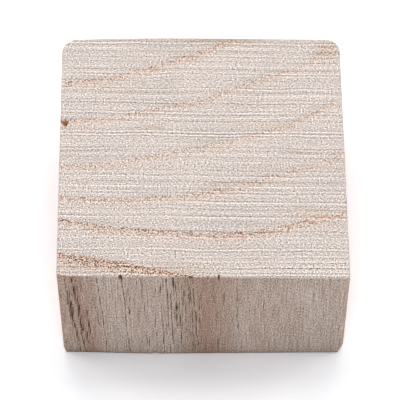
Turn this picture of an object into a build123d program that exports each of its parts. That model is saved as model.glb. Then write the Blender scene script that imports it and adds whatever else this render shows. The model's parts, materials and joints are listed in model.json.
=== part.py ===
from build123d import *
import os

# A sawn block of wide-ringed wood, one solid piece. Millimetres.
# The origin is the middle of the face the block rests on. +Z is up, along the grain,
# +X is the right-hand side and -Y is the front. End grain shows on the top.

# Body
width = 60.0
depth = 59.7
thicknessLeft = 33.9  # the upper saw cut runs downhill from left to right
thicknessRight = 32.1

# Upright corners, worn or sanded to different rounds
frontLeftRound = 0.9
frontRightRound = 0.9
backRightRound = 3.0
backLeftRound = 3.4

# The back face sweeps forward towards the left corner in one long shallow arc
backSweepLength = 30.0
backSweepDrop = 0.85

# Handled edges round the two end-grain faces
topEdgeBreak = 0.15
bottomEdgeBreak = 0.25

# Bruised bottom corners, each a flat left by a knock: its reach along X, Y and Z
rightBruiseAcross = 1.2
rightBruiseBack = 1.8
rightBruiseUp = 5.4
leftBruiseAcross = 0.8
leftBruiseBack = 1.8
leftBruiseUp = 3.6

# Wear along the left part of the bottom front edge
wearAcross = 21.0
wearBack = 0.7
wearUp = 4.6

# Pit in the top, open to the left side, where a piece of a growth ring has come out
pitFromBack = 21.6
pitWidth = 2.0
pitLength = 2.0
pitTipFromLeft = 1.2
pitDepth = 1.0
pitFloorFromLeft = 1.3
pitFloorFromRim = 0.6

# Chips along the front edges: place from the left side, then size
chipFromLeft = 13.0
chipWidth = 1.1
chipHeight = 2.0
chipDepth = 0.7
slitFromLeft = 33.1
slitWidth = 0.5
slitHeight = 3.4
slitDepth = 0.8
nickFromLeft = 27.3
nickWidth = 1.2
nickHeight = 0.8
nickDepth = 0.5
footChipFromLeft = 19.7
footChipWidth = 1.8
footChipHeight = 1.3
footChipDepth = 0.8

# How far outside the wood a cut begins
cutStart = 0.5

left = -width / 2
right = width / 2
front = -depth / 2
back = depth / 2

# The upper saw cut: a plane through both side thicknesses, sloping only along X
sawCut = Plane(
    origin=(0, 0, (thicknessLeft + thicknessRight) / 2),
    x_dir=(width, 0, thicknessRight - thicknessLeft),
    z_dir=(thicknessLeft - thicknessRight, 0, width),
)


def topHeight(x):
    # Height of the upper saw cut at a distance x from the middle
    return sawCut.origin.Z + x * (thicknessRight - thicknessLeft) / width


def makeOutline():
    # Plan view of the block: four straight runs and the swept arc, then a round at each corner
    frontLeft = (left, front)
    frontRight = (right, front)
    backRight = (right, back)
    sweepStart = (left + backSweepLength, back)
    backLeft = (left, back - backSweepDrop)
    straights = Polyline(backLeft, frontLeft, frontRight, backRight, sweepStart)
    sweep = TangentArc(sweepStart, backLeft, tangent=(-1, 0))
    plan = make_face([straights, sweep])
    corners = {
        frontLeft: frontLeftRound,
        frontRight: frontRightRound,
        backRight: backRightRound,
        backLeft: backLeftRound,
    }
    for corner, cornerRound in corners.items():
        plan = fillet(plan.vertices().sort_by_distance(corner)[0], cornerRound)
    return plan


def makeBlank():
    # The outline drawn up along the grain, sawn off on the slant, its two rims broken
    tall = max(thicknessLeft, thicknessRight) + cutStart
    blank = split(extrude(makeOutline(), amount=tall), bisect_by=sawCut, keep=Keep.BOTTOM)
    blank = chamfer(blank.faces().sort_by(Axis.Z)[-1].edges(), topEdgeBreak)
    return chamfer(blank.faces().sort_by(Axis.Z)[0].edges(), bottomEdgeBreak)


def knockCorner(block, side, across, inward, up):
    # Takes a flat off a bottom front corner. side is -1 at the left and 1 at the right.
    # The flat meets the three edges of the corner at the distances given.
    edgePoint = (side * (width / 2 - across), front, 0)
    outward = (side / across, -1 / inward, -1 / up)
    return split(block, bisect_by=Plane(origin=edgePoint, z_dir=outward), keep=Keep.BOTTOM)


def makePit():
    # A three-sided hollow that narrows to its deepest point, its back rim along a growth ring
    rim = back - pitFromBack
    outline = [
        (left - cutStart, rim),
        (left + pitWidth, rim),
        (left + pitTipFromLeft, rim - pitLength),
    ]
    mouth = [(x, y, topHeight(x) + lift) for lift in (0, cutStart) for x, y in outline]
    floorX = left + pitFloorFromLeft
    deepest = (floorX, rim - pitFloorFromRim, topHeight(floorX) - pitDepth)
    return ConvexPolyhedron(mouth + [deepest])


def makeEdgeChip(fromLeft, edgeHeight, inward, across, tall, deep):
    # A splinter torn from a front edge: widest at the edge and running out along the grain.
    # inward is the way from the edge into the wood along Z: 1 at the foot, -1 at the top.
    x = left + fromLeft
    outline = [
        (x - across / 2, front - cutStart),
        (x + across / 2, front - cutStart),
        (x + across / 2, front),
        (x, front + deep),
        (x - across / 2, front),
    ]
    mouth = [(px, py, edgeHeight - inward * lift) for lift in (0, cutStart) for px, py in outline]
    tipHeight = edgeHeight + inward * tall
    return ConvexPolyhedron(mouth + [(x, front, tipHeight), (x, front - cutStart, tipHeight)])


def topChip(fromLeft, across, tall, deep):
    return makeEdgeChip(fromLeft, topHeight(left + fromLeft), -1, across, tall, deep)


def footChip(fromLeft, across, tall, deep):
    return makeEdgeChip(fromLeft, 0, 1, across, tall, deep)


block = makeBlank()
block = knockCorner(block, 1, rightBruiseAcross, rightBruiseBack, rightBruiseUp)
block = knockCorner(block, -1, leftBruiseAcross, leftBruiseBack, leftBruiseUp)
block = knockCorner(block, -1, wearAcross, wearBack, wearUp)
block -= makePit()
block -= topChip(chipFromLeft, chipWidth, chipHeight, chipDepth)
block -= topChip(slitFromLeft, slitWidth, slitHeight, slitDepth)
block -= topChip(nickFromLeft, nickWidth, nickHeight, nickDepth)
block -= footChip(footChipFromLeft, footChipWidth, footChipHeight, footChipDepth)

os.makedirs("parts", exist_ok=True)
export_step(block, "parts/wood_block.step")
print("volume", round(block.volume / 1000, 2), "cm3", "solids", len(block.solids()))
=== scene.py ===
import json
import math

import bpy
import numpy as np
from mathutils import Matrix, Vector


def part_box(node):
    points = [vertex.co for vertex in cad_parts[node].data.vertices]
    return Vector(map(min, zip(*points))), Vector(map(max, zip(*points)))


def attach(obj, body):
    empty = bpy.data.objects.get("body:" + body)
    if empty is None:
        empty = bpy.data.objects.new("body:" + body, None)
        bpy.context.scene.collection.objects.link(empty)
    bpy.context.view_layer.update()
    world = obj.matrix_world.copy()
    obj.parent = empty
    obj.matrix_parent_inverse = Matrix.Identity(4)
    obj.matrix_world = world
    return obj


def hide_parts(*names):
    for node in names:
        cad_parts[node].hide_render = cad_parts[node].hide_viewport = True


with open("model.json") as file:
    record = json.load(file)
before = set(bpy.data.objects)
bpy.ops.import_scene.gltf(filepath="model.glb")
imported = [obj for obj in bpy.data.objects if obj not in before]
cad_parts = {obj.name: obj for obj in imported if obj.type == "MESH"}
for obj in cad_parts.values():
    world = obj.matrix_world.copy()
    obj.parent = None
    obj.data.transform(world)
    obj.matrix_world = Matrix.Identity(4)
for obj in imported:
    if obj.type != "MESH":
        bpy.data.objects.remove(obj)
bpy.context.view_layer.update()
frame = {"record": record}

mm = 0.001


# Node helpers

def newNode(tree, kind, values=None, **settings):
    # One shader node with its settings, each input given a number, a colour or a socket
    node = tree.nodes.new("ShaderNode" + kind)
    for name, value in settings.items():
        setattr(node, name, value)
    for name, value in (values or {}).items():
        socket = node.inputs[name]
        if isinstance(value, bpy.types.NodeSocket):
            tree.links.new(value, socket)
        else:
            socket.default_value = value
    return node


def maths(tree, operation, first, second=0.0, third=0.0, clamp=False):
    # One sum on numbers; MULTIPLY_ADD gives first times second, plus third
    values = {0: first, 1: second, 2: third}
    return newNode(tree, "Math", values, operation=operation, use_clamp=clamp).outputs[0]


def vectors(tree, operation, first, second=(0.0,) * 3, third=(0.0,) * 3):
    # The same on vectors, each part by itself
    values = {0: first, 1: second, 2: third}
    return newNode(tree, "VectorMath", values, operation=operation).outputs[0]


def length(tree, vector):
    # The root of the sum of its parts' squares
    return newNode(tree, "VectorMath", {0: vector}, operation="LENGTH").outputs["Value"]


def ramp(tree, value, start, end, low=0.0, high=1.0):
    # Runs smoothly from low at start to high at end
    values = {"Value": value, "From Min": start, "From Max": end, "To Min": low, "To Max": high}
    return newNode(tree, "MapRange", values, interpolation_type="SMOOTHSTEP").outputs["Result"]


def linear(tree, value, start, end, low=0.0, high=1.0):
    # Runs straight from low at start to high at end, and stops there
    values = {"Value": value, "From Min": start, "From Max": end, "To Min": low, "To Max": high}
    return newNode(tree, "MapRange", values, clamp=True).outputs["Result"]


def mixColour(tree, amount, first, second):
    # The first colour at amount 0, the second at 1
    first, second = (c if isinstance(c, bpy.types.NodeSocket) else (*c, 1.0)
                     for c in (first, second))
    values = {0: amount, 6: first, 7: second}
    return newNode(tree, "Mix", values, data_type="RGBA").outputs[2]


def scaledPlace(tree, place, size):
    # Object place divided by a cell size given in millimetres
    return vectors(tree, "MULTIPLY", place, tuple(1.0 / s for s in size))


def noise(tree, place, size, detail=2.0, roughness=0.5):
    # Cloudy noise with cells of the size given, about 0 to 1
    values = {
        "Vector": scaledPlace(tree, place, size),
        "Scale": 1.0,
        "Detail": detail,
        "Roughness": roughness,
    }
    return newNode(tree, "TexNoise", values).outputs["Fac"]


def plainNoise(tree, socket, place, dimensions):
    # Noise of one cell size and no finer detail, about -1 to 1
    values = {socket: place, "Scale": 1.0, "Detail": 0.0}
    grey = newNode(tree, "TexNoise", values, noise_dimensions=dimensions).outputs["Fac"]
    return maths(tree, "MULTIPLY_ADD", grey, 2.0, -1.0)


def attribute(tree, name):
    # A number that the mesh holds for each vertex
    return newNode(tree, "Attribute", attribute_name=name).outputs["Fac"]


# Camera and lights

cameraSetup = {
    "distance": 520 * mm,  # along the line of sight to the middle of the block
    "elevation": 58.47,  # degrees above the bench
    "azimuth": 0.48,  # degrees round to the block's left
    "lens": 216.0,
    "sensor": 36.0,
    "clip": (0.01, 20.0),
    "shiftRight": -0.50 * mm,  # the line of sight passes this far beside the middle
    "shiftUp": -0.22 * mm,
    "aimHeight": 15.0 * mm,
}


def makeCamera(setup):
    # Stands back from the aim point along a ray set by azimuth and elevation
    e = math.radians(setup["elevation"])
    a = math.radians(setup["azimuth"])
    right = np.array([math.cos(a), -math.sin(a), 0.0])
    forward = np.array([math.sin(a) * math.cos(e), math.cos(a) * math.cos(e), -math.sin(e)])
    up = np.cross(right, forward)
    aim = np.array([0.0, 0.0, setup["aimHeight"]])
    place = aim + right * setup["shiftRight"] + up * setup["shiftUp"] - forward * setup["distance"]
    data = bpy.data.cameras.new("camera")
    data.lens = setup["lens"]
    data.sensor_width = setup["sensor"]
    data.clip_start, data.clip_end = setup["clip"]
    camera = bpy.data.objects.new("camera", data)
    camera.location = place
    camera.rotation_euler = (math.pi / 2 - e, 0.0, -a)
    bpy.context.scene.collection.objects.link(camera)
    bpy.context.scene.camera = camera


lightSetup = {
    "skyColour": (0.90, 0.95, 1.0),
    "skyStrength": 0.30,
    "aim": (0.0, 0.0, 0.02),
    # name: place, size along its own X and Y (all metres), watts, colour
    "areas": {
        "overhead": ((0.0, 0.22, 0.58), (0.42, 0.30), 1.4, (1.0, 0.975, 0.95)),
        "frontFill": ((0.0, -0.60, 0.42), (0.50, 0.30), 1.7, (0.95, 0.975, 1.0)),
        "leftBack": ((-0.50, 0.16, 0.32), (0.30, 0.30), 1.0, (1.0, 0.98, 0.95)),
        "rightBack": ((0.50, 0.16, 0.32), (0.30, 0.30), 1.0, (1.0, 0.98, 0.95)),
    },
}


def makeLights(setup):
    # An even, slightly cool sky, seen as plain white, with soft boxes above, in front and behind
    world = bpy.data.worlds.new("studio")
    world.use_nodes = True
    bpy.context.scene.world = world
    tree = world.node_tree
    sky = tree.nodes["Background"]
    sky.inputs["Color"].default_value = (*setup["skyColour"], 1.0)
    sky.inputs["Strength"].default_value = setup["skyStrength"]
    backdrop = newNode(tree, "Background", {"Color": (1.0,) * 4, "Strength": 1.0})
    mixed = newNode(tree, "MixShader", {
        0: seenDirectly(tree), 1: sky.outputs[0], 2: backdrop.outputs[0],
    })
    tree.links.new(mixed.outputs[0], tree.nodes["World Output"].inputs["Surface"])
    for name, (place, size, watts, colour) in setup["areas"].items():
        data = bpy.data.lights.new(name, "AREA")
        data.shape = "RECTANGLE"
        data.size, data.size_y = size
        data.energy = watts
        data.color = colour
        lamp = bpy.data.objects.new(name, data)
        lamp.location = place
        lamp.rotation_euler = aimedTurn(np.array(setup["aim"]) - np.array(place))
        bpy.context.scene.collection.objects.link(lamp)


def aimedTurn(way):
    # Turns a lamp, which shines along its own -Z, to point along a vector
    x, y, z = way / np.linalg.norm(way)
    return (math.acos(-z), 0.0, math.atan2(y, x) - math.pi / 2)


def seenDirectly(tree):
    # 1 for rays from the camera and for mirror and glass rays, so that they see the backdrop
    rays = newNode(tree, "LightPath").outputs
    total = maths(tree, "ADD", rays["Is Camera Ray"], rays["Is Glossy Ray"], clamp=True)
    return maths(tree, "ADD", total, rays["Is Transmission Ray"], clamp=True)


# The block's outline and its faces

blockShape = {
    "frontLeftRound": 0.9 * mm,
    "frontRightRound": 0.9 * mm,
    "backRightRound": 3.0 * mm,
    "backLeftRound": 3.4 * mm,
    "backSweepLength": 30.0 * mm,
    "backSweepDrop": 0.85 * mm,
    "topBreak": 0.15 * mm,
    "bottomBreak": 0.16 * mm,
    # bruised or worn bottom corners: side, reach across, back and up
    "bruises": {
        "right": (1, 1.2 * mm, 1.8 * mm, 5.4 * mm),
        "left": (-1, 0.8 * mm, 1.8 * mm, 3.6 * mm),
        "wear": (-1, 21.0 * mm, 0.7 * mm, 4.6 * mm),
    },
    "pit": {
        "fromBack": 21.6 * mm,
        "width": 2.0 * mm,
        "length": 2.0 * mm,
        "tipFromLeft": 1.2 * mm,
        "depth": 1.0 * mm,
        "floorFromLeft": 1.3 * mm,
        "floorFromRim": 0.6 * mm,
        "outside": 0.5 * mm,  # how far outside the wood its mouth begins
        "fade": 3.0 * mm,  # the wall below it closes up over this
    },
    # chips in the front edges: at the top or not, from left, width, height, depth
    "chips": {
        "chip": (True, 13.0 * mm, 1.1 * mm, 2.0 * mm, 0.40 * mm),
        "slit": (True, 33.1 * mm, 0.5 * mm, 3.4 * mm, 0.7 * mm),
        "nick": (True, 27.3 * mm, 1.2 * mm, 0.8 * mm, 0.25 * mm),
        "footChip": (False, 19.7 * mm, 2.0 * mm, 1.3 * mm, 0.30 * mm),
    },
    "chipFade": 3.0,  # a chip closes up behind over this many times its depth
    "chipShadeReach": 1.2,  # and is painted dark, as torn wood and as shade in the hollow, over this many
}

blockMesh = {
    "acrossCount": 300,  # wall columns along the front and along the back
    "sideCount": 360,  # wall columns along each side, which are also the rows of the two caps
    "bandRows": 17,  # cap rows at the front edge that keep every wall column
    "fineColumns": 13,  # cap columns at the left and right edges that keep every wall column
    "topColumns": 44,  # wider cap columns between them
    "bottomColumns": 16,
    "edgeRows": [0.2, 0.45, 0.75, 1.1, 1.6, 2.2, 3.0, 4.0, 5.2],  # mm in from each rim
    "middleRows": 12,
    "breakRows": 3,
}

boxLow, boxHigh = (np.array(corner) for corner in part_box("wood_block"))
topMount = [m for m in frame["record"]["mounts"] if m["name"] == "top"][0]
topPlace = np.array(topMount["pos_m"])
topNormal = np.array(topMount["axis"])


def topHeight(x, y):
    # Height of the upper saw cut: the plane through the record's top mount
    fall = topNormal[0] * (x - topPlace[0]) + topNormal[1] * (y - topPlace[1])
    return topPlace[2] - fall / topNormal[2]


def arcPoints(centre, radius, start, end, count=24):
    # Part of a circle, angles in radians
    t = np.linspace(start, end, count)
    return np.stack([centre[0] + radius * np.cos(t), centre[1] + radius * np.sin(t)], 1)


def resample(points, count):
    # The same line with evenly spaced points, by its own length
    steps = np.linalg.norm(np.diff(points, axis=0), axis=1)
    run = np.concatenate([[0.0], np.cumsum(steps)])
    at = np.linspace(0.0, run[-1], count + 1)
    return np.stack([np.interp(at, run, points[:, k]) for k in (0, 1)], 1)


def outlineRuns(shape, mesh):
    # Four runs anticlockwise, each from the middle of one corner round to the middle of the next
    left, front = boxLow[:2]
    right, back = boxHigh[:2]
    eighth = math.pi / 4
    fl, fr = shape["frontLeftRound"], shape["frontRightRound"]
    br, bl = shape["backRightRound"], shape["backLeftRound"]
    sweepLength, sweepDrop = shape["backSweepLength"], shape["backSweepDrop"]
    # the sweep is a circle that leaves the straight back and falls by sweepDrop at the left side
    sweepRadius = (sweepLength ** 2 + sweepDrop ** 2) / (2 * sweepDrop)
    sweepCentre = np.array([left + sweepLength, back - sweepRadius])
    # the back left round touches that circle from inside
    across = left + bl - sweepCentre[0]
    rise = math.sqrt((sweepRadius - bl) ** 2 - across ** 2)
    blCentre = np.array([left + bl, sweepCentre[1] + rise])
    touch = math.atan2(rise, across)
    flCentre = (left + fl, front + fl)
    frCentre = (right - fr, front + fr)
    brCentre = (right - br, back - br)
    middle = (touch + math.pi) / 2
    runs = {
        "front": [arcPoints(flCentre, fl, 5 * eighth, 6 * eighth),
                  arcPoints(frCentre, fr, 6 * eighth, 7 * eighth)],
        "right": [arcPoints(frCentre, fr, 7 * eighth, 8 * eighth),
                  arcPoints(brCentre, br, 0.0, eighth)],
        "back": [arcPoints(brCentre, br, eighth, 2 * eighth),
                 arcPoints(sweepCentre, sweepRadius, 2 * eighth, touch, 80),
                 arcPoints(blCentre, bl, touch, middle)],
        "left": [arcPoints(blCentre, bl, middle, 4 * eighth),
                 arcPoints(flCentre, fl, 4 * eighth, 5 * eighth)],
    }
    counts = (mesh["acrossCount"], mesh["sideCount"]) * 2
    return {name: resample(np.concatenate(parts), count)
            for (name, parts), count in zip(runs.items(), counts)}


def loopNormals(loop):
    # Outward in plan: the chord between both neighbours, turned a quarter turn clockwise
    chord = np.roll(loop, -1, axis=0) - np.roll(loop, 1, axis=0)
    out = np.stack([chord[:, 1], -chord[:, 0]], 1)
    return out / np.linalg.norm(out, axis=1, keepdims=True)


def wallProfile(shape, mesh):
    # Rows from the bottom up: share of the full height, distance added to it, and inset.
    # A quarter circle rounds each rim.
    turn = np.linspace(0.0, math.pi / 2, mesh["breakRows"] + 1)
    edge = np.array(mesh["edgeRows"]) * mm
    low, high = shape["bottomBreak"], shape["topBreak"]
    lowRise = np.concatenate([low * (1 - np.cos(turn)), low + edge])
    lowInset = np.concatenate([low * (1 - np.sin(turn)), 0 * edge])
    highFall = np.concatenate([high * (1 - np.cos(turn)), high + edge])
    highInset = np.concatenate([high * (1 - np.sin(turn)), 0 * edge])
    share = np.linspace(0.0, 1.0, mesh["middleRows"] + 1)[1:-1]
    added = lowRise[-1] * (1 - share) - highFall[-1] * share
    shares = np.concatenate([0 * lowRise, share, 0 * highFall + 1])
    offsets = np.concatenate([lowRise, added, -highFall[::-1]])
    insets = np.concatenate([lowInset, 0 * share, highInset[::-1]])
    return shares, offsets, insets


def capColumns(mesh, plainCount):
    # Which wall columns carry on across a cap: all near its two edges, a few between
    n, fine = mesh["acrossCount"], mesh["fineColumns"]
    plain = np.linspace(fine, n - fine, plainCount + 1).round().astype(int)
    return np.unique(np.concatenate([np.arange(fine), plain, n - np.arange(fine)]))


def coonsPatch(front, right, back, left, u, v):
    # Fills the plan between four runs: the sum of both ruled surfaces less the flat one through
    # the corners. front and back run left to right, left and right run front to back.
    u, v = u[None, :, None], v[:, None, None]
    ruledY = (1 - v) * front[None] + v * back[None]
    ruledX = (1 - u) * left[:, None] + u * right[:, None]
    corners = (1 - u) * (1 - v) * front[0] + u * (1 - v) * front[-1]
    corners = corners + (1 - u) * v * back[0] + u * v * back[-1]
    return ruledY + ruledX - corners


def quadFaces(ids):
    # All quads of a grid of vertex numbers
    return np.stack([ids[:-1, :-1], ids[:-1, 1:], ids[1:, 1:], ids[1:, :-1]], -1).reshape(-1, 4)


def seamFaces(fine, coarse, picked):
    # Joins a row with every column to one with only the picked columns, a face for each of these
    spans = zip(picked[:-1], picked[1:])
    return [[*fine[a:b + 1], coarse[k + 1], coarse[k]] for k, (a, b) in enumerate(spans)]


def makeCap(rimLoop, rimIds, firstId, mesh, plainCount):
    # A grid over one end-grain face, inside a rim of vertices that exist already
    n, m, rows = mesh["acrossCount"], mesh["sideCount"], mesh["bandRows"]
    picked = capColumns(mesh, plainCount)
    starts = np.cumsum([0, n, m, n])
    whole = np.append(rimIds, rimIds[0])
    closed = np.vstack([rimLoop, rimLoop[:1]])
    side = {}
    for name, start, count in zip(("front", "right", "back", "left"), starts, (n, m, n, m)):
        side[name] = (closed[start:start + count + 1], whole[start:start + count + 1])
    frontRun, frontIds = side["front"]
    rightRun, rightIds = side["right"]
    backRun, backIds = (part[::-1] for part in side["back"])
    leftRun, leftIds = (part[::-1] for part in side["left"])
    u, v = np.arange(n + 1) / n, np.arange(m + 1) / m
    band = coonsPatch(frontRun, rightRun[:rows], backRun, leftRun[:rows], u, v[:rows])
    main = coonsPatch(frontRun[picked], rightRun, backRun[picked], leftRun, u[picked], v)
    bandIds = np.empty((rows, n + 1), int)
    bandIds[0] = frontIds
    bandIds[:, 0], bandIds[:, -1] = leftIds[:rows], rightIds[:rows]
    inner = band[1:, 1:-1].reshape(-1, 2)
    bandIds[1:, 1:-1] = firstId + np.arange(len(inner)).reshape(rows - 1, n - 1)
    mainIds = np.empty((m - rows, len(picked)), int)
    mainIds[:, 0], mainIds[:, -1] = leftIds[rows:m], rightIds[rows:m]
    body = main[rows:m, 1:-1].reshape(-1, 2)
    mainIds[:, 1:-1] = firstId + len(inner) + np.arange(len(body)).reshape(m - rows, -1)
    quads = np.vstack([quadFaces(bandIds), quadFaces(mainIds)]).tolist()
    quads += seamFaces(bandIds[-1], mainIds[0], picked)
    quads += [face[::-1] for face in seamFaces(backIds, mainIds[-1], picked)]
    return np.vstack([inner, body]), quads


def buildBlock(shape, mesh):
    # Walls are the outline carried up the profile. Each cap closes them inside its rim.
    runs = outlineRuns(shape, mesh)
    loop = np.concatenate([runs[name][:-1] for name in ("front", "right", "back", "left")])
    out = loopNormals(loop)
    shares, offsets, insets = wallProfile(shape, mesh)
    plan = loop[None] - insets[:, None, None] * out[None]
    z = shares[:, None] * topHeight(plan[:, :, 0], plan[:, :, 1]) + offsets[:, None]
    walls = np.concatenate([plan, z[:, :, None]], 2)
    rowCount, columnCount = z.shape
    ids = np.arange(rowCount * columnCount).reshape(rowCount, columnCount)
    faces = quadFaces(np.hstack([ids, ids[:, :1]])).tolist()
    bottomXY, bottomFaces = makeCap(plan[0], ids[0], ids.size, mesh, mesh["bottomColumns"])
    topStart = ids.size + len(bottomXY)
    topXY, topFaces = makeCap(plan[-1], ids[-1], topStart, mesh, mesh["topColumns"])
    faces += [face[::-1] for face in bottomFaces] + topFaces
    bottom = np.column_stack([bottomXY, np.zeros(len(bottomXY))])
    top = np.column_stack([topXY, topHeight(topXY[:, 0], topXY[:, 1])])
    points = np.vstack([walls.reshape(-1, 3), bottom, top])
    # how much each vertex belongs to an end-grain face, and which way out of the wall is
    ends = np.zeros((rowCount, columnCount))
    ends[0] = ends[-1] = 1.0
    endGrain = np.concatenate([ends.ravel(), np.ones(len(bottom) + len(top))])
    outward = np.zeros_like(points)
    outward[:ids.size, :2] = np.tile(out, (rowCount, 1))
    # and how far round the outline it stands
    steps = np.linalg.norm(np.diff(loop, axis=0), axis=1)
    around = np.zeros(len(points))
    around[:ids.size] = np.tile(np.concatenate([[0.0], np.cumsum(steps)]), rowCount)
    return points, faces, endGrain, outward, around, (rowCount, columnCount)


def smoothSteps(value, start, end):
    # From 0 at start to 1 at end along 3t squared less 2t cubed
    t = np.clip((value - start) / (end - start), 0.0, 1.0)
    return t * t * (3 - 2 * t)


def cutPit(points, pit):
    # An upside-down pyramid on a triangle: depth grows in proportion from each side to the
    # deepest point. Wall vertices below it sink less and less. Returns each vertex's share.
    left, back = boxLow[0], boxHigh[1]
    rim = back - pit["fromBack"]
    corners = np.array([
        (left - pit["outside"], rim),
        (left + pit["width"], rim),
        (left + pit["tipFromLeft"], rim - pit["length"]),
    ])
    floor = np.array([left + pit["floorFromLeft"], rim - pit["floorFromRim"]])
    share = np.full(len(points), np.inf)
    for start, end in zip(corners, np.roll(corners, -1, axis=0)):
        along = end - start
        inward = np.array([along[1], -along[0]])
        reach = (points[:, :2] - start) @ inward
        share = np.minimum(share, reach / ((floor - start) @ inward))
    share = np.clip(share, 0.0, 1.0)
    below = topHeight(points[:, 0], points[:, 1]) - points[:, 2]
    fade = np.clip(1 - below / pit["fade"], 0.0, 1.0)
    points[:, 2] -= share * pit["depth"] * fade
    return share * fade


def cutChips(points, shape):
    # Pushes the front edge back along a V that narrows away from the edge. The push dies out over a
    # few times its own depth, so the rows behind it close up and never cross. Returns how much each
    # vertex is painted dark: torn wood, and painted shade in the chip's hollow.
    left, front = boxLow[:2]
    bitten = np.zeros(len(points))
    for atTop, fromLeft, width, tall, deep in shape["chips"].values():
        x, y, z = points.T
        fall = topHeight(x, y) - z if atTop else z
        share = np.clip(1 - fall / tall - np.abs(x - left - fromLeft) / (width / 2), 0.0, 1.0)
        near = np.clip(1 - (y - front) / (shape["chipFade"] * deep), 0.0, 1.0)
        dark = np.clip(1 - (y - front) / (shape["chipShadeReach"] * deep), 0.0, 1.0)
        bitten = np.maximum(bitten, share * dark)
        points[:, 1] += share * near * deep
    return bitten


def knockCorners(points, shape):
    # Drops every vertex beyond a flat straight down onto it
    half, front = boxHigh[0], boxLow[1]
    for side, across, inward, up in shape["bruises"].values():
        way = np.array([-side / across, 1 / inward, 1 / up])
        start = np.array([side * half, front, 0.0])
        short = 1 - (points - start) @ way
        points += np.clip(short, 0.0, None)[:, None] * way / (way @ way)


# Growth rings

ringLines = {
    "stations": np.array([-30.0, -20.0, -10.0, 0.0, 10.0, 20.0, 30.0]) * mm,
    # where each ring begins on the top face, back to front, at those distances to the right
    "lines": np.array([
        (42.0, 45.0, 49.0, 54.0, 60.0, 67.0, 75.0),
        (31.1, 33.5, 37.5, 42.5, 48.0, 54.5, 61.5),
        (17.9, 19.5, 22.7, 26.6, 31.5, 37.5, 44.0),
        (8.3, 9.35, 11.5, 14.2, 18.4, 22.7, 29.1),
        (-2.9, -1.95, -0.1, 2.05, 5.2, 8.9, 14.9),
        (-10.45, -11.1, -10.4, -9.3, -6.7, -3.1, 0.55),
        (-15.9, -17.65, -18.5, -19.05, -18.7, -16.2, -13.7),
        (-24.1, -25.75, -27.7, -30.1, -31.8, -33.2, -34.1),
        (-29.1, -32.2, -36.0, -39.5, -42.5, -43.5, -43.0),
        (-37.0, -40.0, -44.0, -48.0, -51.0, -53.0, -54.0),
    ]) * mm,
    "firstRing": -1,
    # how dark and wide the early wood after each of those lines is
    "strength": (0.9, 0.9, 1.0, 0.8, 0.75, 0.9, 1.25, 1.9, 1.9, 1.0),
    "lean": 0.035,  # how far rings and grain move to the right for each unit down
    "leftLean": 0.10,  # and how much more than that at the left side, from leftStart on
    "leftStart": -17.0 * mm,
}


def grainSlide(points, rings):
    # How far right of its place on the top face the grain at each point has come: height
    # below the top, times the lean, turned negative to lead back to that place
    x, _, z = points.T
    more = np.clip((rings["leftStart"] - x) / (rings["leftStart"] - boxLow[0]), 0.0, 1.0)
    return -(topPlace[2] - z) * (rings["lean"] + rings["leftLean"] * more)


def ringField(points, rings):
    # At each point's x the ring lines give y by a curve through the stations (Catmull-Rom),
    # and the count rises evenly from one line to the next. Also returns the width of the ring
    # there and the strength of its early wood.
    x, y, _ = points.T
    x = x + grainSlide(points, rings)
    stations = rings["stations"]
    step = stations[1] - stations[0]
    place = np.clip((x - stations[0]) / step, 0.0, len(stations) - 1.001)
    k = place.astype(int)
    t = place - k
    padded = np.pad(rings["lines"], ((0, 0), (1, 1)), mode="reflect", reflect_type="odd")
    a, b, c, d = (padded[:, k + j] for j in range(4))
    lines = b + 0.5 * t * (c - a + t * (2 * a - 5 * b + 4 * c - d + t * (3 * (b - c) + d - a)))
    inFront = (lines > y).sum(0).clip(1, len(lines) - 1)
    column = np.arange(len(x))
    behind, ahead = lines[inFront - 1, column], lines[inFront, column]
    count = rings["firstRing"] + inFront - 1 + (behind - y) / (behind - ahead)
    return count, (behind - ahead) / mm, np.array(rings["strength"])[inFront - 1]


# Saw marks

sawMarks = {
    "lineWidth": 0.30 * mm,  # half the way from one dark line to the next
    "lineLength": 16.0 * mm,  # along which a line keeps its tone
    "sway": 2.0,  # lines by which the spacing drifts, over about five lines
    "patch": (11.0 * mm, 7.0 * mm),  # reach of the places where they are stronger or weaker
    "patchTone": (0.55, 1.45),
    "depth": 0.010 * mm,
    "seed": 11,
}


def softNoise(table, *at):
    # Random values at whole numbers joined by smooth steps, in one or two dimensions
    low = [np.floor(a).astype(int) for a in at]
    t = [a - b for a, b in zip(at, low)]
    t = [v * v * (3 - 2 * v) for v in t]
    near = [a % n for a, n in zip(low, table.shape)]
    far = [(a + 1) % n for a, n in zip(low, table.shape)]
    if len(at) == 1:
        return table[near[0]] * (1 - t[0]) + table[far[0]] * t[0]
    low = table[near[0], near[1]] * (1 - t[0]) + table[far[0], near[1]] * t[0]
    high = table[near[0], far[1]] * (1 - t[0]) + table[far[0], far[1]] * t[0]
    return low * (1 - t[1]) + high * t[1]


def sawField(points, marks):
    # Lines that run along X. A line's tone is one random value less the next one's, so that light
    # and dark alternate unevenly, and it changes slowly along X, from about -1 to 1. The sizes of
    # the random tables only keep the pattern from repeating. The tone sets the ridges' height, and
    # the material also paints it into the colour as the ridges' light and shade.
    rng = np.random.default_rng(marks["seed"])
    x, y = points[:, 0], points[:, 1]
    steps = (y - boxLow[1]) / marks["lineWidth"]
    steps = steps + marks["sway"] * softNoise(rng.random(64), steps / 4.7)
    along = x / marks["lineLength"] + 50 + 4 * softNoise(rng.random(512), steps * 0.93)
    table = rng.random((211, 97))
    tone = softNoise(table, steps, along) - softNoise(table, steps + 1, along)
    across, back = marks["patch"]
    patch = softNoise(rng.random((31, 37)), x / across + 15, y / back + 15)
    weakest, strongest = marks["patchTone"]
    return tone * (weakest + (strongest - weakest) * patch)


# Open vessels on the long-grain walls

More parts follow.
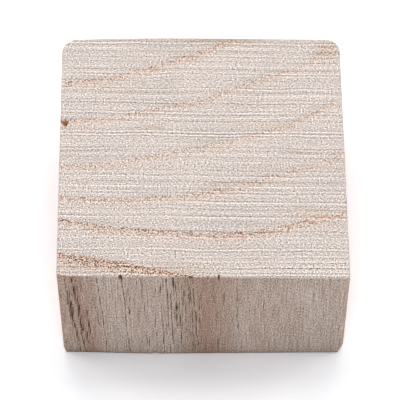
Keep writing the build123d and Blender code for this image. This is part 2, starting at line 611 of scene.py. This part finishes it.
vessels = {
    "seed": 23,
    "spacing": 0.8 * mm,  # mean distance between random vessels round the walls
    "halfWidth": (0.065 * mm, 0.10 * mm),
    "depth": 0.07 * mm,
    "lowest": -8.0 * mm,  # how far below the foot one may start
    "length": (4.0 * mm, 26.0 * mm),
    "lean": 0.035,  # to the right for each unit down the front
    "wander": 0.30 * mm,
    "wanderLength": 3.1 * mm,
    "breakLength": 0.9 * mm,
    "leanShare": (-0.5, 0.8),  # how much of the lean the random ones have
    "strength": (0.25, 0.8),
    # how densely they stand between ring lines, and how much more just after one, fading over
    # this many mm; then the share of both on the front, which has its own
    "plainCrowd": 0.35,
    "ringCrowd": 3.0,
    "ringCrowdReach": 1.3,
    "frontCrowd": 0.15,
    "rimFrom": 0.08 * mm,  # pale fibres stand this far beside a vessel
    "rimWidth": 0.22 * mm,
    "driftHeight": 33.0,  # mm, over which the drifts below are given
    "groupFoot": (-4.0, 28.0),  # mm up the wall
    "groupLength": (8.0, 24.0),
    # groups on the front: from, to (mm from the left), how many, drift, strength
    "frontGroups": [
        (0.5, 4.6, 26, 2.6, 0.85), (8.6, 18.6, 16, 0.7, 0.60), (19.3, 29.3, 34, 0.8, 0.80),
        (29.5, 59.5, 32, 0.5, 0.50),
    ],
    # the long ones on the front: from left at the top, bottom, top, drift to the right in
    # going down, strength
    "front": [
        (2.6, 9.0, 34.0, 2.4, 1.0), (3.2, 5.0, 27.0, 2.2, 0.9), (1.4, 14.0, 34.0, 1.8, 0.8),
        (1.0, 2.0, 24.0, 1.9, 0.7), (8.1, 0.0, 34.0, 1.1, 0.9), (13.1, 0.0, 34.0, 0.9, 1.0),
        (14.3, 6.0, 34.0, 0.3, 0.9), (17.2, 13.0, 33.0, 0.8, 0.8), (19.8, 22.0, 33.0, 0.2, 0.7),
        (20.8, 4.0, 30.0, 0.7, 0.7), (22.0, 8.0, 33.0, 0.7, 0.8), (22.9, 2.0, 28.0, 0.6, 0.9),
        (23.7, 10.0, 33.5, 0.6, 1.0), (24.6, 1.0, 26.0, 0.6, 0.7), (25.9, 4.0, 31.0, 0.6, 0.7),
        (30.6, 20.0, 32.0, 0.3, 0.5), (32.4, 16.0, 33.0, 0.2, 0.4), (34.0, 18.0, 33.0, 0.3, 0.7),
        (36.5, 9.0, 33.0, 0.9, 0.8), (38.6, 1.0, 14.0, 0.4, 0.6), (41.1, 15.0, 32.0, 0.1, 0.5),
        (41.9, 0.0, 31.0, 1.2, 0.8), (47.0, 2.0, 33.0, 0.3, 0.4), (49.0, 25.0, 33.0, 0.3, 0.3),
        (51.4, 12.0, 20.0, 0.1, 0.5), (54.2, 17.0, 32.5, 0.4, 0.7), (57.0, 6.0, 18.0, 0.2, 0.4),
        (30.7, 31.0, 36.0, 0.1, 1.0), (35.2, 31.6, 36.0, 0.1, 0.8), (36.7, 30.8, 36.0, 0.1, 0.9),
        (46.8, 31.4, 36.0, 0.1, 0.8), (6.1, 30.0, 36.0, 0.1, 0.7), (10.9, 24.0, 36.0, 0.3, 0.7),
    ],
}


def vesselField(points, gridSize, setup):
    # Each vessel is a line up the wall that leans and wanders: a tent across it, broken up and
    # faded along it. All are set into one grid of wall rows and columns and the deepest wins.
    # Also returns the paler fibres that stand along both sides of each.
    rows, columns = gridSize
    rng = np.random.default_rng(setup["seed"])
    wall = points[:rows * columns].reshape(rows, columns, 3)
    z = wall[:, :, 2]
    tall = z.max()
    middle = wall[rows // 2]
    ring, width, _ = ringField(middle, ringLines)
    afterLine = (ring % 1.0) * width
    steps = np.linalg.norm(np.diff(middle, axis=0, append=middle[:1]), axis=1)
    run = np.concatenate([[0.0], np.cumsum(steps)])
    around, run = run[-1], run[:-1]
    # random ones, which crowd just after each ring line
    crowd = np.exp(-afterLine / setup["ringCrowdReach"])
    crowd = setup["plainCrowd"] + setup["ringCrowd"] * crowd
    crowd[:blockMesh["acrossCount"]] *= setup["frontCrowd"]
    count = int(around / setup["spacing"] * crowd.mean())
    centre = run[rng.choice(columns, count, p=crowd / crowd.sum())]
    low = rng.uniform(setup["lowest"], tall, count)
    high = low + rng.uniform(*setup["length"], count)
    lean = rng.uniform(*setup["leanShare"], count) * setup["lean"]
    strength = rng.uniform(*setup["strength"], count)
    # the front's own, one by one and in groups
    chosen = [np.array(setup["front"])]
    for start, end, many, drift, power in setup["frontGroups"]:
        foot = rng.uniform(*setup["groupFoot"], many)
        spread = start + (end - start) * (rng.permutation(many) + rng.random(many)) / many
        chosen.append(np.column_stack([
            spread, foot, foot + rng.uniform(*setup["groupLength"], many),
            drift * rng.uniform(0.7, 1.2, many), power * rng.uniform(0.5, 1.1, many)]))
    chosen = np.concatenate(chosen)
    centre = np.append(centre, chosen[:, 0] * mm + chosen[:, 3] * mm / 2)
    low, high = np.append(low, chosen[:, 1] * mm), np.append(high, chosen[:, 2] * mm)
    lean = np.append(lean, chosen[:, 3] / setup["driftHeight"])
    strength = np.append(strength, chosen[:, 4])
    half = rng.uniform(*setup["halfWidth"], len(centre))
    bends, breaks = rng.random((64, 64)), rng.random((128, 64))
    cut, rim = np.zeros((2, rows, columns))
    for k, (c, lo, hi, d, h, s) in enumerate(zip(centre, low, high, lean, half, strength)):
        near = np.abs(run - c) < 4 * mm  # the columns that it can reach
        up = z[:, near]
        ownRow = np.full(up.shape, float(k))
        bend = softNoise(bends, up / setup["wanderLength"] + 7 * k, ownRow) - 0.5
        line = c - d * (up - tall / 2) + setup["wander"] * bend
        away = np.abs(run[near] - line)
        across = np.clip(1 - away / (2 * h), 0.0, 1.0)
        ends = smoothSteps(up, lo, lo + 2 * mm) * (1 - smoothSteps(up, hi - mm, hi))
        broken = softNoise(breaks, up / setup["breakLength"] + 11 * k, ownRow)
        power = ends * s * (0.5 + 0.8 * broken)
        cut[:, near] = np.maximum(cut[:, near], across * power)
        beside = np.abs(away - 2 * h - setup["rimFrom"]) / setup["rimWidth"]
        rim[:, near] = np.maximum(rim[:, near], np.clip(1 - beside, 0.0, 1.0) * power)
    rest = np.zeros(len(points) - rows * columns)
    rim = rim * np.clip(1 - 3 * cut, 0.0, 1.0)
    return np.concatenate([cut.ravel(), rest]), np.concatenate([rim.ravel(), rest])


# Painted light on the upright corners and painted shadow at the foot

edgeLightAndShade = {
    # painted light on the rounded upright front corners reaches this far
    "cornerReach": 0.55 * mm,
    # painted shadow at the foot of the front: how dark, and fading over this height; a narrow line
    # of painted contact shadow and a wider band of painted shade
    "contactShadowLine": (0.95, 0.30 * mm),
    "footShade": (0.34, 4.0 * mm),
    "footBack": 2.0 * mm,  # and over this distance under the block
}


def paintedEdgeLightAndShade(points, marks):
    # How near a point is to an upright front corner, as a bell curve, and to the bottom front edge,
    # as two exponential falls with height: where light is painted on the corners and shadow at the
    # foot
    x, y, z = points.T
    toCorner = np.hypot(boxHigh[0] - np.abs(x), y - boxLow[1])
    corner = np.exp(-(toCorner / marks["cornerReach"]) ** 2)
    up = np.maximum(z, 0)
    foot = sum(dark * np.exp(-up / reach) for dark, reach in (marks["contactShadowLine"], marks["footShade"]))
    return corner, foot * np.exp(-(y - boxLow[1]) / marks["footBack"])


def makeBlockPiece(shape, mesh):
    # Builds the block, sinks vessels and saw marks into it, then cuts the pit, the chips and the
    # corners. What the material needs to know is kept on the vertices.
    points, faces, endGrain, outward, around, gridSize = buildBlock(shape, mesh)
    vesselCut, vesselRim = vesselField(points, gridSize, vessels)
    isTop = (endGrain > 0.5) & (points[:, 2] > topPlace[2] / 2)
    isBottom = (endGrain > 0.5) & ~isTop
    sawTone = sawField(points, sawMarks)
    corner, foot = paintedEdgeLightAndShade(points, edgeLightAndShade)
    ringCount, ringWidth, ringStrength = ringField(points, ringLines)
    slide = grainSlide(points, ringLines)
    points -= outward * (np.minimum(vesselCut, 1) * vessels["depth"] * (1 - endGrain))[:, None]
    relief = sawMarks["depth"] * (np.clip(sawTone, -1, 1) - 1)
    points[:, 2] += relief * isTop - relief * isBottom
    pit = cutPit(points, shape["pit"])
    tornAndShade = cutChips(points, shape)
    knockCorners(points, shape)
    data = bpy.data.meshes.new("sawn_block")
    data.from_pydata(points.tolist(), [], faces)
    data.validate()
    fields = {
        "ringCount": ringCount, "ringWidth": ringWidth, "ringStrength": ringStrength,
        "endGrain": endGrain, "grainSlide": slide / mm, "around": around / mm,
        "sawTone": sawTone, "vesselCut": vesselCut, "vesselRim": vesselRim,
        "pit": pit, "tornAndShade": tornAndShade, "corner": corner, "foot": foot,
    }
    for name, values in fields.items():
        layer = data.attributes.new(name, "FLOAT", "POINT")
        layer.data.foreach_set("value", values.astype(np.float32))
    data.polygons.foreach_set("use_smooth", np.ones(len(data.polygons), bool))
    data.update()
    piece = bpy.data.objects.new("sawn_block", data)
    bpy.context.scene.collection.objects.link(piece)
    triangles = len(data.loops) - 2 * len(data.polygons)
    print("block", len(points), "vertices", triangles, "triangles")
    return piece


# Wood material

woodLook = {
    # end grain
    "endPale": (0.715, 0.625, 0.580),
    "endGrey": (0.620, 0.550, 0.515),
    "endPink": (0.740, 0.620, 0.555),
    "endTan": (0.600, 0.470, 0.370),
    "endEarly": (0.720, 0.530, 0.410),
    "poreOrange": (0.40, 0.165, 0.075),
    "poreBrown": (0.14, 0.050, 0.022),
    # long grain
    "sidePale": (0.66, 0.53, 0.455),
    "sideTan": (0.58, 0.44, 0.36),
    "sideGrey": (0.52, 0.43, 0.38),
    "sideBrown": (0.42, 0.26, 0.19),
    "sideEarly": (0.46, 0.32, 0.24),
    # also the colour of the painted shadow at the foot
    "sidePoreAndShadow": (0.075, 0.030, 0.016),
    # painted light on the upright corners; the pit; torn wood, which also carries painted shade in
    # the chips and the pit's core
    "cornerLitTan": (0.62, 0.40, 0.27),
    "pitOrange": (0.46, 0.22, 0.11),
    # torn wood's own brown, also used as painted shade in the chips and the pit's core
    "tornAndShadeBrown": (0.11, 0.05, 0.028),
    # stains on the upper face: middle x and y, reach across and back (mm), colour, amount
    "stains": {
        "frontTan": ((-5.0, -28.6), (10.0, 3.6), (0.60, 0.46, 0.36), 0.45),
        "frontLeft": ((-24.0, -27.5), (9.0, 3.0), (0.52, 0.38, 0.29), 0.35),
        "backBrown": ((5.0, 29.6), (13.0, 1.8), (0.52, 0.38, 0.28), 0.55),
        "backGrey": ((-8.0, 28.0), (9.0, 2.6), (0.52, 0.46, 0.42), 0.35),
        "backCorner": ((27.5, 27.0), (5.0, 3.0), (0.55, 0.40, 0.29), 0.45),
        "rightStreak": ((22.0, -14.9), (8.0, 0.9), (0.66, 0.50, 0.36), 0.55),
        "middleStreak": ((9.0, 7.4), (9.0, 0.8), (0.66, 0.52, 0.40), 0.35),
        "leftStreak": ((-19.0, 16.2), (8.0, 0.7), (0.66, 0.52, 0.40), 0.30),
    },
    # growth rings: mm after a ring line, or before the next, over which each zone fades
    "ringWarp": 0.05,  # share of a ring by which its line strays
    "earlyReach": (0.35, 2.4),
    "earlyCurve": 1.1,  # above 1 it fades faster at first
    "pinkReach": (0.8, 5.0),
    "lateReach": 1.6,
    "wallEarlyReach": (0.3, 1.7),
    "wallLateReach": 2.1,
    "wallLineReach": 1.1,
    # how strongly each zone, and each place of painted light or painted shade, takes its colour
    "lateTint": 0.55,
    "pinkTint": 0.5,
    "earlyTint": 0.36,
    "wallLateTint": 0.85,
    "wallLineTint": 0.6,
    "wallEarlyTint": 0.5,
    "cornerLightTint": 0.6,
    "tornAndShadeTint": 0.95,
    "pitCoreShadeTint": 0.9,
    "footShadowTint": 0.85,
    # pores
    "poreSize": 0.50,  # mm from one vessel to the next, about
    "poreEdge": (0.28, 0.38),  # cells from its middle, over which a pore ends
    "wallPoreThinner": 0.10,
    "poreShare": (0.02, 0.08, 0.50),  # of the cells: anywhere, more after a line, most at it
    "wallPoreShare": (0.05, 0.50),
    "brownPores": 0.42,  # of those at a line, the rest are orange
    # speckle, whose bright grains are partly painted glints, fibres, and saw lines painted as the
    # ridges' light and shade: contrast as a share of the colour, then size in mm
    "endSpeckleAndGlint": 0.92,
    "endSpeckleSize": (0.31, 0.23),
    "sideSpeckleAndGlint": 0.66,
    "sideSpeckleSize": (0.245, 0.62),
    "fibre": 0.28,
    "fibreSize": (0.30, 7.0),
    "vesselRim": 0.28,
    "meshSawShade": 0.04,  # of the saw lines that the mesh has, painted as their light and shade
    "fineSawShade": 0.40,  # and of the thinner ones between them, painted the same way
    "sawWidth": 0.40,
    "sawBend": 0.55,  # how far a line strays from straight
    # soft patches: cell size in mm, noise values between which one grows, its least and most
    "cloudSize": (9.0, 6.0, 60.0),
    "cloudGrey": (0.40, 0.75, 0.0, 0.6),
    "tanSize": (11.0, 2.5, 60.0),
    "tanPatch": (0.58, 0.80, 0.0, 0.6),
    "sawSize": (12.0, 5.0, 60.0),
    "sawPatch": (0.35, 0.65, 0.5, 1.5),
    "broadSize": (5.0, 5.0, 45.0),
    "broadPatch": (0.38, 0.62, 0.0, 1.0),
    "streakSize": (0.8, 0.8, 30.0),
    "streakPatch": (0.45, 0.80, 0.0, 0.6),
    "breakSize": (0.9, 0.9, 3.2),
    "breakPatch": (0.42, 0.60, 0.15, 1.0),
    # surface
    "roughness": 0.82,
    "roughSpeckle": 0.08,
    "gloss": 0.25,
    "bumpDepth": 0.05 * mm,
    "bumpStrength": 0.5,
}


def toned(tree, colour, tone, lean=(0.91, 1.0, 1.09)):
    # Colour times 1 + tone, a little more in the blue, so that dark grains come out browner
    swing = vectors(tree, "MULTIPLY_ADD", tone, lean, (1.0,) * 3)
    return vectors(tree, "MULTIPLY", colour, swing)


def grainPlace(tree, place):
    # Millimetres along the grain: sideways places slide with height, and waver a little
    slide = newNode(tree, "CombineXYZ", {0: attribute(tree, "grainSlide")}).outputs[0]
    waver = newNode(tree, "TexNoise", {
        "Vector": scaledPlace(tree, place, (2.5, 2.5, 7.0)), "Scale": 1.0, "Detail": 1.0,
    }).outputs["Color"]
    waver = vectors(tree, "SUBTRACT", waver, (0.5,) * 3)
    return vectors(tree, "MULTIPLY_ADD", waver, (0.9, 0.9, 0.0), vectors(tree, "ADD", place, slide))


def ringZones(tree, grain, look):
    # How far, in millimetres, a place lies after one ring line and before the next: the ring
    # count's fraction, or what is left of it, times the ring's width. Each zone fades from the
    # line by that distance, and early wood reaches further in a strong ring.
    warp = maths(tree, "SUBTRACT", noise(tree, grain, (2.2, 2.2, 40.0), 3.0), 0.5)
    count = maths(tree, "MULTIPLY_ADD", warp, look["ringWarp"], attribute(tree, "ringCount"))
    age = maths(tree, "FRACT", count)
    width = attribute(tree, "ringWidth")
    strength = attribute(tree, "ringStrength")
    after = maths(tree, "MULTIPLY", age, width)
    before = maths(tree, "MULTIPLY", maths(tree, "SUBTRACT", 1.0, age), width)
    nearer = maths(tree, "DIVIDE", after, maths(tree, "MULTIPLY_ADD", strength, 0.5, 0.5))
    early = linear(tree, nearer, *look["earlyReach"], 1.0, 0.0)
    early = maths(tree, "POWER", early, look["earlyCurve"])
    wallEarly = linear(tree, after, *look["wallEarlyReach"], 1.0, 0.0)
    return {
        "after": after,
        "before": before,
        "strength": strength,
        "early": maths(tree, "MULTIPLY", early, strength),
        "wallEarly": maths(tree, "MULTIPLY", wallEarly, strength, clamp=True),
        "pink": ramp(tree, after, *look["pinkReach"], 1.0, 0.0),
        "late": ramp(tree, before, 0.0, look["lateReach"], 1.0, 0.0),
    }


def poreCells(tree, grain, endGrain, rings, look):
    # Cells as far apart as vessels. Those whose random value is under the share hold a pore,
    # 1 at its middle and 0 past its edge. Also returns another random value of each cell.
    size = (look["poreSize"], look["poreSize"], 1.0)
    cells = newNode(tree, "TexVoronoi", {"Vector": scaledPlace(tree, grain, size), "Scale": 1.0},
                    voronoi_dimensions="2D")
    chance = newNode(tree, "SeparateColor", {"Color": cells.outputs["Color"]}).outputs
    anywhere, afterLine, atLine = look["poreShare"]
    share = maths(tree, "MULTIPLY_ADD", rings["early"], atLine, anywhere)
    share = maths(tree, "MULTIPLY_ADD", rings["pink"], afterLine, share)
    onWalls, atWallLine = look["wallPoreShare"]
    wallShare = maths(tree, "MULTIPLY_ADD", rings["wallEarly"], atWallLine, onWalls)
    share = newNode(tree, "Mix", {0: endGrain, 2: wallShare, 3: share}).outputs[0]
    isPore = maths(tree, "LESS_THAN", chance[0], share)
    thinner = linear(tree, endGrain, 0.0, 1.0, look["wallPoreThinner"], 0.0)
    away = maths(tree, "ADD", cells.outputs["Distance"], thinner)
    dot = ramp(tree, away, *look["poreEdge"], 1.0, 0.0)
    return maths(tree, "MULTIPLY", dot, isPore), chance[1]


def wallPlace(tree, height, size):
    # Distance round the outline and height, divided by a cell size
    across, up = size
    sideways = maths(tree, "DIVIDE", attribute(tree, "around"), across)
    upward = maths(tree, "DIVIDE", height, up)
    return newNode(tree, "CombineXYZ", {0: sideways, 1: upward}).outputs[0]


def fineSpeckle(tree, grain, height, endGrain, look):
    # Fibres torn up by the saw, seen end on above and as short strokes on the walls; their bright
    # grains are partly painted glints
    wallCell = wallPlace(tree, height, look["sideSpeckleSize"])
    endCell = scaledPlace(tree, grain, (*look["endSpeckleSize"], 1.0))
    cell = newNode(tree, "Mix", {0: endGrain, 4: wallCell, 5: endCell}, data_type="VECTOR")
    return plainNoise(tree, "Vector", cell.outputs[1], "2D")


def fineSawShadeLines(tree, place, look):
    # Noise that changes only across the cut, slowly bent along it, and stronger in patches: the
    # painted light and shade of fine saw ridges
    bend = noise(tree, place, (13.0, 7.0, 60.0), 1.0)
    across = newNode(tree, "SeparateXYZ", {0: place}).outputs[1]
    across = maths(tree, "MULTIPLY_ADD", bend, 2 * look["sawBend"], across)
    line = plainNoise(tree, "W", maths(tree, "DIVIDE", across, look["sawWidth"]), "1D")
    patch = linear(tree, noise(tree, place, look["sawSize"]), *look["sawPatch"])
    return maths(tree, "MULTIPLY", line, patch)


def endGrainColour(tree, place, rings, pore, chance, speckle, look):
    # Pale wood, greyer before a ring line and pinker after it, with tan patches and stains, then the
    # early wood's tint and pores, and over all the speckle, whose bright grains are partly painted
    # glints, and the saw lines, painted as the light and shade of the saw ridges
    cloud = noise(tree, place, look["cloudSize"], 3.0)
    grey = linear(tree, cloud, *look["cloudGrey"])
    grey = maths(tree, "MULTIPLY_ADD", rings["late"], look["lateTint"], grey, clamp=True)
    colour = mixColour(tree, grey, look["endPale"], look["endGrey"])
    pink = maths(tree, "MULTIPLY", rings["pink"], look["pinkTint"])
    colour = mixColour(tree, pink, colour, look["endPink"])
    tan = ramp(tree, noise(tree, place, look["tanSize"]), *look["tanPatch"])
    colour = mixColour(tree, tan, colour, look["endTan"])
    for (x, y), (across, back), stainColour, amount in look["stains"].values():
        # an oval whose edge the cloud makes uneven
        offset = vectors(tree, "SUBTRACT", place, (x, y, 0.0))
        away = length(tree, vectors(tree, "MULTIPLY", offset, (1 / across, 1 / back, 0.0)))
        away = maths(tree, "MULTIPLY_ADD", cloud, 0.8, maths(tree, "SUBTRACT", away, 0.4))
        colour = mixColour(tree, ramp(tree, away, 0.2, 1.1, amount, 0.0), colour, stainColour)
    early = maths(tree, "MULTIPLY", rings["early"], look["earlyTint"])
    colour = mixColour(tree, early, colour, look["endEarly"])
    orange = maths(tree, "MULTIPLY_ADD", rings["strength"], -look["brownPores"], 1.0)
    isBrown = maths(tree, "GREATER_THAN", chance, orange)
    poreColour = mixColour(tree, isBrown, look["poreOrange"], look["poreBrown"])
    depth = maths(tree, "MULTIPLY_ADD", rings["early"], 0.7, 0.30)
    colour = mixColour(tree, maths(tree, "MULTIPLY", pore, depth, clamp=True), colour, poreColour)
    # speckle: fibre tone, its bright grains partly painted glints
    tone = maths(tree, "MULTIPLY", speckle, look["endSpeckleAndGlint"])
    # painted light and shade of the saw ridges, from the mesh's lines and finer ones
    tone = maths(tree, "MULTIPLY_ADD", attribute(tree, "sawTone"), look["meshSawShade"], tone)
    tone = maths(tree, "MULTIPLY_ADD", fineSawShadeLines(tree, place, look), look["fineSawShade"], tone)
    return toned(tree, colour, tone)


def longGrainColour(tree, grain, height, rings, pore, speckle, look):
    # Pale to tan wood with grey streaks, browner on both sides of a ring line, then broken pores,
    # the mesh's vessels and the painted light on the rounded upright corners, and over all the
    # speckle, whose bright grains are partly painted glints, and the fibres
    broad = linear(tree, noise(tree, grain, look["broadSize"]), *look["broadPatch"])
    colour = mixColour(tree, broad, look["sidePale"], look["sideTan"])
    streak = noise(tree, grain, look["streakSize"], 2.0, 0.6)
    colour = mixColour(tree, linear(tree, streak, *look["streakPatch"]), colour, look["sideGrey"])
    late = ramp(tree, rings["before"], 0.0, look["wallLateReach"], look["wallLateTint"], 0.0)
    colour = mixColour(tree, late, colour, look["sideBrown"])
    line = ramp(tree, rings["after"], 0.0, look["wallLineReach"], look["wallLineTint"], 0.0)
    colour = mixColour(tree, line, colour, look["sideBrown"])
    early = maths(tree, "MULTIPLY", rings["wallEarly"], look["wallEarlyTint"])
    colour = mixColour(tree, early, colour, look["sideEarly"])
    depth = maths(tree, "MULTIPLY_ADD", rings["wallEarly"], 0.4, 0.55)
    depth = maths(tree, "MULTIPLY", pore, depth, clamp=True)
    broken = linear(tree, noise(tree, grain, look["breakSize"]), *look["breakPatch"])
    colour = mixColour(tree, maths(tree, "MULTIPLY", depth, broken), colour, look["sidePoreAndShadow"])
    cut = ramp(tree, attribute(tree, "vesselCut"), 0.18, 0.70)
    colour = mixColour(tree, cut, colour, look["sidePoreAndShadow"])
    # painted light: the rounded upright front corners tinted orange-tan, as light falls on the
    # turning edge
    corner = maths(tree, "MULTIPLY", attribute(tree, "corner"), look["cornerLightTint"])
    colour = mixColour(tree, corner, colour, look["cornerLitTan"])
    fibre = plainNoise(tree, "Vector", wallPlace(tree, height, look["fibreSize"]), "2D")
    # speckle: fibre tone, its bright grains partly painted glints
    tone = maths(tree, "MULTIPLY", speckle, look["sideSpeckleAndGlint"])
    tone = maths(tree, "MULTIPLY_ADD", fibre, look["fibre"], tone)
    tone = maths(tree, "MULTIPLY_ADD", attribute(tree, "vesselRim"), look["vesselRim"], tone)
    return toned(tree, colour, tone)


def makeWood(look):
    # End grain and long grain are made apart and mixed by the face they are on. The pit with painted
    # shade in its core, the chips' torn wood with painted shade in them, and the painted shadow at
    # the foot lie over both.
    material = bpy.data.materials.new("sawn_pale_wood")
    material.use_nodes = True
    tree = material.node_tree
    shader = tree.nodes["Principled BSDF"]
    place = newNode(tree, "TexCoord").outputs["Object"]
    place = vectors(tree, "MULTIPLY", place, (1 / mm,) * 3)
    height = newNode(tree, "SeparateXYZ", {0: place}).outputs[2]
    grain = grainPlace(tree, place)
    endGrain = attribute(tree, "endGrain")
    rings = ringZones(tree, grain, look)
    pore, chance = poreCells(tree, grain, endGrain, rings, look)
    speckle = fineSpeckle(tree, grain, height, endGrain, look)
    endColour = endGrainColour(tree, place, rings, pore, chance, speckle, look)
    sideColour = longGrainColour(tree, grain, height, rings, pore, speckle, look)
    colour = mixColour(tree, endGrain, sideColour, endColour)
    pit = attribute(tree, "pit")
    hollow = ramp(tree, pit, 0.02, 0.25, 0.0, look["tornAndShadeTint"])
    colour = mixColour(tree, hollow, colour, look["pitOrange"])
    # painted shade: the pit's deep core darkened, as shade falls inside the hollow
    pitShade = ramp(tree, pit, 0.40, 0.95, 0.0, look["pitCoreShadeTint"])
    colour = mixColour(tree, pitShade, colour, look["tornAndShadeBrown"])
    # the chips: torn wood, darkened further as painted shade in their hollows
    tornAndShade = ramp(tree, attribute(tree, "tornAndShade"), 0.05, 0.40, 0.0, look["tornAndShadeTint"])
    colour = mixColour(tree, tornAndShade, colour, look["tornAndShadeBrown"])
    # painted shadow: the foot of the front darkens towards the floor, as the contact shadow and
    # shade there
    foot = maths(tree, "MULTIPLY", attribute(tree, "foot"), look["footShadowTint"])
    colour = mixColour(tree, foot, colour, look["sidePoreAndShadow"])
    tree.links.new(colour, shader.inputs["Base Color"])
    # pores sink, and the speckle stands up and lies down a little
    relief = maths(tree, "MULTIPLY_ADD", pore, -0.8, maths(tree, "MULTIPLY", speckle, 0.25))
    bump = newNode(tree, "Bump", {
        "Height": relief, "Strength": look["bumpStrength"], "Distance": look["bumpDepth"],
    })
    tree.links.new(bump.outputs["Normal"], shader.inputs["Normal"])
    rough = maths(tree, "MULTIPLY_ADD", speckle, look["roughSpeckle"], look["roughness"])
    tree.links.new(rough, shader.inputs["Roughness"])
    shader.inputs["Specular IOR Level"].default_value = look["gloss"]
    return material


# Floor

floorSetup = {
    "halfSize": 1.5,
    "colour": (0.60, 0.60, 0.61),
    "seenGain": 2.2,  # how much brighter the camera sees it, so that lit floor is white
    "shadowReach": (90.0 * mm, 200.0 * mm),  # from the middle, where it turns to plain white
}


def makeFloor(setup):
    # A flat square. The camera sees it brightened, so that its lit part is white and the shadow
    # stays, and plain white further out.
    h = setup["halfSize"]
    data = bpy.data.meshes.new("floor")
    data.from_pydata([(-h, -h, 0), (h, -h, 0), (h, h, 0), (-h, h, 0)], [], [(0, 1, 2, 3)])
    floor = bpy.data.objects.new("floor", data)
    bpy.context.scene.collection.objects.link(floor)
    material = bpy.data.materials.new("floor")
    material.use_nodes = True
    tree = material.node_tree
    tree.nodes.remove(tree.nodes["Principled BSDF"])
    plain = newNode(tree, "BsdfDiffuse", {"Color": (*setup["colour"], 1.0)})
    bright = tuple(c * setup["seenGain"] for c in setup["colour"])
    near = newNode(tree, "BsdfDiffuse", {"Color": (*bright, 1.0)})
    white = newNode(tree, "Emission", {"Color": (1.0, 1.0, 1.0, 1.0), "Strength": 1.0})
    distance = length(tree, newNode(tree, "TexCoord").outputs["Object"])
    outside = ramp(tree, distance, *setup["shadowReach"])
    seen = newNode(tree, "MixShader", {0: outside, 1: near.outputs[0], 2: white.outputs[0]})
    mixed = newNode(tree, "MixShader", {
        0: seenDirectly(tree), 1: plain.outputs[0], 2: seen.outputs[0],
    })
    tree.links.new(mixed.outputs[0], tree.nodes["Material Output"].inputs["Surface"])
    data.materials.append(material)


makeCamera(cameraSetup)
makeLights(lightSetup)
makeFloor(floorSetup)
print("camera, lights and floor made")

block = makeBlockPiece(blockShape, blockMesh)
block.data.materials.append(makeWood(woodLook))
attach(block, "root")
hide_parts("wood_block")
print("block dressed")

bpy.context.scene.view_settings.view_transform = "Standard"
